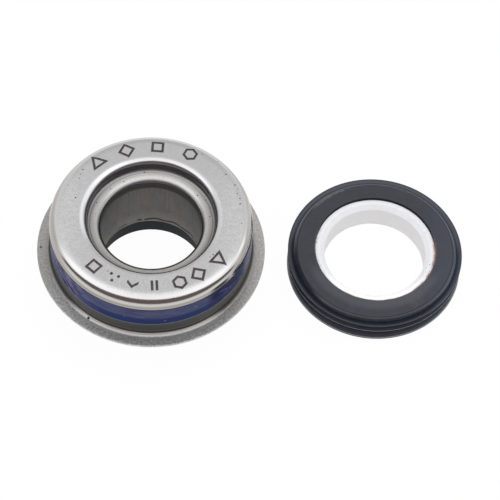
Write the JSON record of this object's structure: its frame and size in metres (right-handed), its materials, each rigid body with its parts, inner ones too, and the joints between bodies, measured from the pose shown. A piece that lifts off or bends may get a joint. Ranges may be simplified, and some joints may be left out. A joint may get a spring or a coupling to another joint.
{
  "type": "mechanical seal",
  "caption": "Two-part rotary shaft seal: a spring-loaded carbon face in a flanged press-in case, and a ceramic mating ring in a ribbed rubber cup",
  "frame": {"origin": "on the cartridge's axis, in the plane of the flange face that meets the pump housing", "axes": "+Z along the cartridge's axis to the closed end of its case, +X to the side where the loose seat lies"},
  "size_m": [0.077, 0.0414, 0.0198],
  "materials": {
    "case_steel": "drawn stainless sheet, satin on the end and flange, brighter on the turned radii",
    "blue_sealant": "brushed-on lacquer, uneven gloss",
    "sheet_steel": "pressed stainless sheet",
    "bellows_rubber": "moulded, matt",
    "spring_steel": "drawn stainless wire",
    "carbon": "moulded carbon, lapped on the sealing face",
    "alumina": "white sintered alumina, lapped on the sealing face",
    "cup_rubber": "moulded, satin"
  },
  "bodies": {
    "cartridge": {"case": "case_steel", "sealant_band": "blue_sealant", "bellows_retainer": "sheet_steel", "rubber_bellows": "bellows_rubber", "coil_spring": "spring_steel"},
    "face": {"carbon_ring": "carbon", "drive_shell": "sheet_steel"},
    "seat": {"ceramic_ring": "alumina", "rubber_cup": "cup_rubber"}
  },
  "joints": [
    {"name": "face_slide", "type": "slide", "parent": "cartridge", "child": "face", "axis": [0, 0, 1], "range_m": [0, 0.003], "stiffness_N_per_m": 1000, "springref_m": -0.002, "deforming": ["coil_spring", "rubber_bellows"]},
    {"name": "seat_spin", "type": "hinge", "parent": "cartridge", "child": "seat", "pos_m": [0.0406, 0.005, -0.0093], "axis": [0, 0, 1], "continuous": true}
  ]
}
